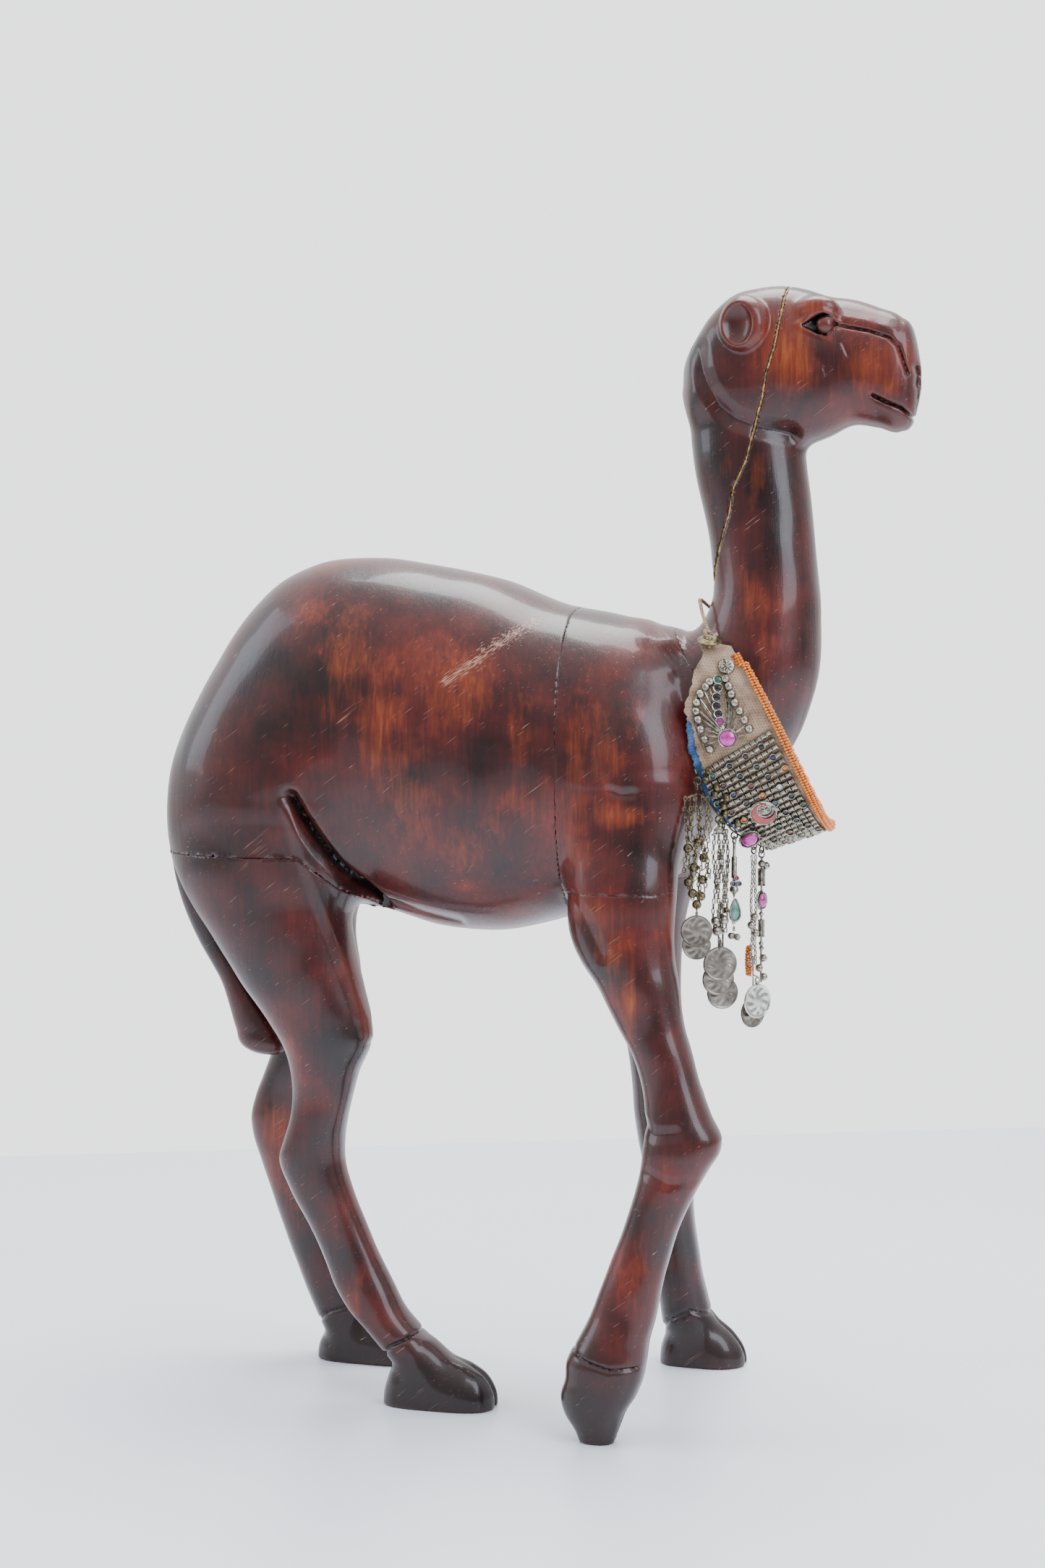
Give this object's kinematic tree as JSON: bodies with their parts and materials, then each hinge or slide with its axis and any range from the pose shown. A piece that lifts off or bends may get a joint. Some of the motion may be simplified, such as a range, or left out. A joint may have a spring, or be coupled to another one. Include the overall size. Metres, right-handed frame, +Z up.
{
  "type": "carved wooden camel statue",
  "caption": "Standing carved wooden camel glued up from blocks, wearing a beaded jewelled cloth choker with swinging coin and bead pendants",
  "frame": {"origin": "on the floor, at the middle of the statue's plan outline", "axes": "+X towards the camel's head, +Y to the camel's left, +Z up"},
  "size_m": [0.5814, 0.2576, 0.8364],
  "materials": {
    "wood_dark": "dark red-brown stained hardwood under worn semi-gloss shellac",
    "wood_dowel": "raw pale hardwood",
    "filler": "matte dried glue and wood filler",
    "cloth_tan": "worn tan woven cotton",
    "cloth_blue": "faded blue woven cotton",
    "beads_orange": "orange glass seed beads, glossy",
    "silver": "tarnished low-grade silver alloy",
    "dark_metal": "blackened brass",
    "glass_magenta": "backed magenta glass, glossy",
    "glass_green": "backed dark green glass, glossy",
    "enamel_red": "red enamel, glossy"
  },
  "bodies": {
    "camel": {"body_block": "wood_dark", "shoulder_block": "wood_dark", "neck_head_block": "wood_dark", "nape_block": "wood_dark", "foreleg_near": "wood_dark", "foreleg_far": "wood_dark", "hindleg_near": "wood_dark", "hindleg_far": "wood_dark", "neck_glue_line": "filler", "neck_dowel": "wood_dowel", "barrel_dowel": "wood_dowel", "foreleg_near_dowel": "wood_dowel", "foreleg_far_dowel": "wood_dowel", "hindleg_near_dowel": "wood_dowel", "hindleg_far_dowel": "wood_dowel", "lining_cloth": "cloth_blue", "backing_cloth": "cloth_tan", "tie_cord": "cloth_tan", "bead_edging": "beads_orange", "bead_mesh_panel": "silver", "spoke_fan_near": "silver", "spoke_fan_far": "silver", "rosette_near": "silver", "rosette_far": "silver", "crescent_cup": "silver", "nape_button": "silver", "bezel_row_near": "dark_metal", "bezel_row_far": "dark_metal", "gem_bezel_near": "dark_metal", "gem_bezel_far": "dark_metal", "oval_bezel": "dark_metal", "edge_bells": "dark_metal", "edge_wire": "dark_metal", "gem_near": "glass_magenta", "gem_far": "glass_magenta", "oval_gem": "glass_magenta", "crescent_enamel": "enamel_red"},
    "strand_lace": {"strand_lace": "silver"},
    "strand_chains": {"strand_chains": "silver"},
    "strand_inner": {"strand_inner": "silver"},
    "strand_drop": {"strand_drop": "silver", "drop_gem": "glass_green"},
    "strand_long": {"strand_long": "silver", "bead_tassel": "beads_orange"},
    "strand_tubes": {"strand_tubes": "silver", "tubes_gem": "glass_magenta", "tubes_tail": "silver"},
    "coin_lace_front": {"coin_lace_front": "silver"},
    "coin_lace_end": {"coin_lace_end": "silver"},
    "coin_chains_front": {"coin_chains_front": "silver"},
    "coin_chains_end": {"coin_chains_end": "silver"},
    "coin_inner_end": {"coin_inner_end": "silver"},
    "coin_long_front": {"coin_long_front": "silver"},
    "coin_long_end": {"coin_long_end": "silver"}
  },
  "joints": [
    {"name": "strand_lace_swing", "type": "hinge", "parent": "camel", "child": "strand_lace", "pos_m": [0.13883, -0.06378, 0.47428], "axis": [-0.9827, -0.185, 0], "range_deg": [-5, 50]},
    {"name": "strand_chains_swing", "type": "hinge", "parent": "camel", "child": "strand_chains", "pos_m": [0.15154, -0.04426, 0.44502], "axis": [-0.9064, -0.4224, 0], "range_deg": [0, 50]},
    {"name": "strand_inner_swing", "type": "hinge", "parent": "camel", "child": "strand_inner", "pos_m": [0.15354, -0.03672, 0.44373], "axis": [-0.8742, -0.4855, 0], "range_deg": [-40, 0]},
    {"name": "strand_drop_swing", "type": "hinge", "parent": "camel", "child": "strand_drop", "pos_m": [0.16111, -0.03323, 0.4325], "axis": [-0.8125, -0.583, 0], "range_deg": [-10, 50]},
    {"name": "strand_long_swing", "type": "hinge", "parent": "camel", "child": "strand_long", "pos_m": [0.17369, -0.02119, 0.42405], "axis": [-0.6456, -0.7637, 0], "range_deg": [0, 50]},
    {"name": "strand_tubes_swing", "type": "hinge", "parent": "camel", "child": "strand_tubes", "pos_m": [0.17786, -0.01051, 0.42044], "axis": [-0.415, -0.9098, 0], "range_deg": [-15, 50]},
    {"name": "coin_lace_front_swing", "type": "hinge", "parent": "strand_lace", "child": "coin_lace_front", "pos_m": [0.13975, -0.06869, 0.38265], "axis": [-0.9827, -0.185, 0], "range_deg": [-2, 55]},
    {"name": "coin_lace_end_swing", "type": "hinge", "parent": "strand_lace", "child": "coin_lace_end", "pos_m": [0.13883, -0.06378, 0.37065], "axis": [-0.9827, -0.185, 0], "range_deg": [-50, 11]},
    {"name": "coin_chains_front_swing", "type": "hinge", "parent": "strand_chains", "child": "coin_chains_front", "pos_m": [0.15365, -0.0488, 0.35785], "axis": [-0.9064, -0.4224, 0], "range_deg": [-2, 40]},
    {"name": "coin_chains_end_swing", "type": "hinge", "parent": "strand_chains", "child": "coin_chains_end", "pos_m": [0.15154, -0.04426, 0.34515], "axis": [-0.9064, -0.4224, 0], "range_deg": [-6, 10]},
    {"name": "coin_inner_end_swing", "type": "hinge", "parent": "strand_inner", "child": "coin_inner_end", "pos_m": [0.15354, -0.03672, 0.33415], "axis": [-0.8742, -0.4855, 0], "range_deg": [-50, 11]},
    {"name": "coin_long_front_swing", "type": "hinge", "parent": "strand_long", "child": "coin_long_front", "pos_m": [0.17751, -0.02442, 0.32785], "axis": [-0.6456, -0.7637, 0], "range_deg": [-2, 55]},
    {"name": "coin_long_end_swing", "type": "hinge", "parent": "strand_long", "child": "coin_long_end", "pos_m": [0.17369, -0.02119, 0.31765], "axis": [-0.6456, -0.7637, 0], "range_deg": [-50, 8]}
  ]
}
